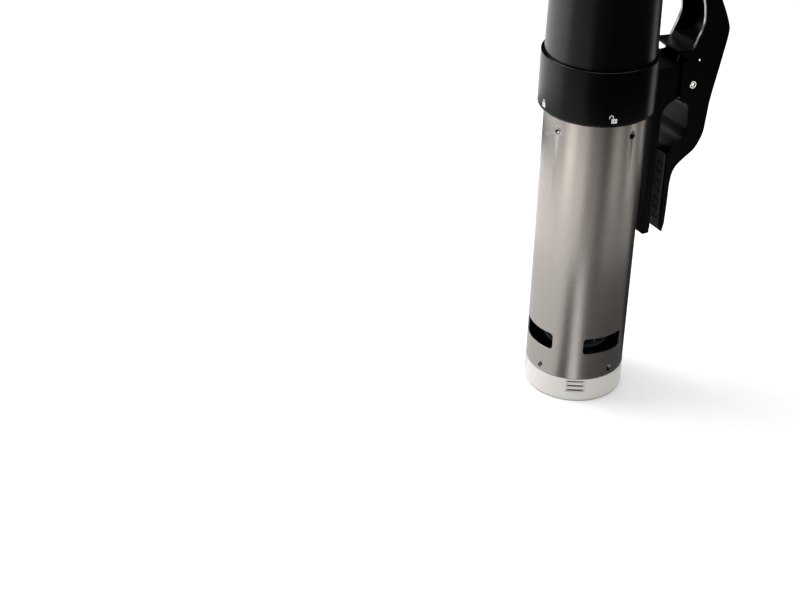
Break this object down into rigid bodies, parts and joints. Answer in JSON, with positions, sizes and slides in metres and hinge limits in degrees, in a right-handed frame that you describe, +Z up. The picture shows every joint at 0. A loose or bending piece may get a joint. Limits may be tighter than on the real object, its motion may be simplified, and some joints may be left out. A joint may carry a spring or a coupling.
{
  "type": "sous vide circulator",
  "caption": "Clamp-on immersion circulator: black tapered body and collar over a brushed steel sleeve with flow slots, pale base cap, sprung rim clamp and slanted display.",
  "frame": {"origin": "centre of the base cap's flat bottom, on the tube's axis", "axes": "+Z up along the tube, -Y towards the display's front, +Y towards the clamp, +X to the right seen from the front"},
  "size_m": [0.07, 0.1163, 0.375],
  "materials": {
    "pale_plastic": "pale, slightly translucent moulded plastic",
    "brushed_sleeve": "satin stainless steel, fine grain round the tube",
    "dark_plastic": "moulded glass-filled plastic",
    "spring_steel": "bright drawn steel",
    "satin_black": "satin black moulded plastic",
    "matte_black": "fine matte black moulded plastic",
    "gloss_black": "gloss black",
    "satin_trim": "satin anodised ring",
    "dark_lens": "smoked window",
    "display": "display module",
    "circuit_board": "solder-masked board",
    "screw_steel": "bright stainless",
    "button_plastic": "soft grey moulded plastic",
    "black_rubber": "moulded rubber",
    "aluminium": "satin",
    "copper_winding": "lacquered copper winding",
    "rotor_iron": "laminated iron and magnets",
    "heater_steel": "satin stainless tube",
    "impeller_plastic": "dark moulded plastic",
    "bright_trim": "bright satin strip"
  },
  "bodies": {
    "housing": {"ring_clip": "spring_steel", "collar": "satin_black", "upper_housing": "matte_black", "head_housing": "matte_black", "fascia": "gloss_black", "bezel_ring": "satin_trim", "display_lens": "dark_lens", "display_panel": "display", "control_board": "circuit_board", "board_screws": "screw_steel", "tact_switches": "dark_plastic", "cord_gland": "black_rubber", "power_board": "circuit_board", "bulkhead": "dark_plastic", "bulkhead_seal": "black_rubber", "shaft_seal": "black_rubber", "triac": "dark_plastic", "triac_heatsink": "aluminium", "housing_screws": "screw_steel", "motor_mount": "aluminium", "motor_screws": "screw_steel", "motor_can": "aluminium", "motor_stator": "copper_winding", "motor_bearings": "screw_steel", "shaft_tube": "heater_steel", "lower_bush": "pale_plastic", "heater_coil": "heater_steel", "temperature_probe": "heater_steel", "level_rods": "heater_steel", "clamp_bracket": "matte_black", "bracket_screws": "screw_steel", "inner_jaw_pad": "black_rubber", "torsion_spring": "spring_steel"},
    "ring": {"locking_ring": "dark_plastic"},
    "sleeve": {"steel_sleeve": "brushed_sleeve"},
    "cap": {"base_cap": "pale_plastic"},
    "rotor": {"motor_rotor": "rotor_iron", "motor_shaft": "spring_steel", "cooling_fan": "dark_plastic", "impeller": "impeller_plastic", "impeller_clip": "spring_steel"},
    "lever": {"lever_body": "matte_black", "lever_trim": "bright_trim", "outer_jaw_pad": "black_rubber", "pivot_screw": "screw_steel", "pivot_nut": "screw_steel", "spring_pin": "screw_steel"},
    "minus_key": {"minus_button": "button_plastic"},
    "power_key": {"power_button": "button_plastic"},
    "plus_key": {"plus_button": "button_plastic"}
  },
  "joints": [
    {"name": "lever_squeeze", "type": "hinge", "parent": "housing", "child": "lever", "pos_m": [0, 0.0586, 0.1908], "axis": [1, 0, 0], "range_deg": [0, 15], "stiffness_Nm_per_rad": 2, "springref_deg": -22.92, "deforming": ["torsion_spring"]},
    {"name": "sleeve_twist", "type": "hinge", "parent": "housing", "child": "ring", "pos_m": [0, 0, 0.1908], "axis": [0, 0, 1], "range_deg": [0, 78]},
    {"name": "sleeve_pull", "type": "slide", "parent": "ring", "child": "sleeve", "axis": [0, 0, -1], "range_m": [0, 0.17]},
    {"name": "cap_pull", "type": "slide", "parent": "sleeve", "child": "cap", "axis": [0, 0, -1], "range_m": [0, 0.03]},
    {"name": "rotor_spin", "type": "hinge", "parent": "housing", "child": "rotor", "pos_m": [0, 0, 0.15], "axis": [0, 0, 1], "continuous": true},
    {"name": "minus_press", "type": "slide", "parent": "housing", "child": "minus_key", "axis": [0, 0.5736, -0.8192], "range_m": [0, 0.001], "stiffness_N_per_m": 1500, "springref_m": -0.0005},
    {"name": "power_press", "type": "slide", "parent": "housing", "child": "power_key", "axis": [0, 0.5736, -0.8192], "range_m": [0, 0.001], "stiffness_N_per_m": 1500, "springref_m": -0.0005},
    {"name": "plus_press", "type": "slide", "parent": "housing", "child": "plus_key", "axis": [0, 0.5736, -0.8192], "range_m": [0, 0.001], "stiffness_N_per_m": 1500, "springref_m": -0.0005}
  ]
}
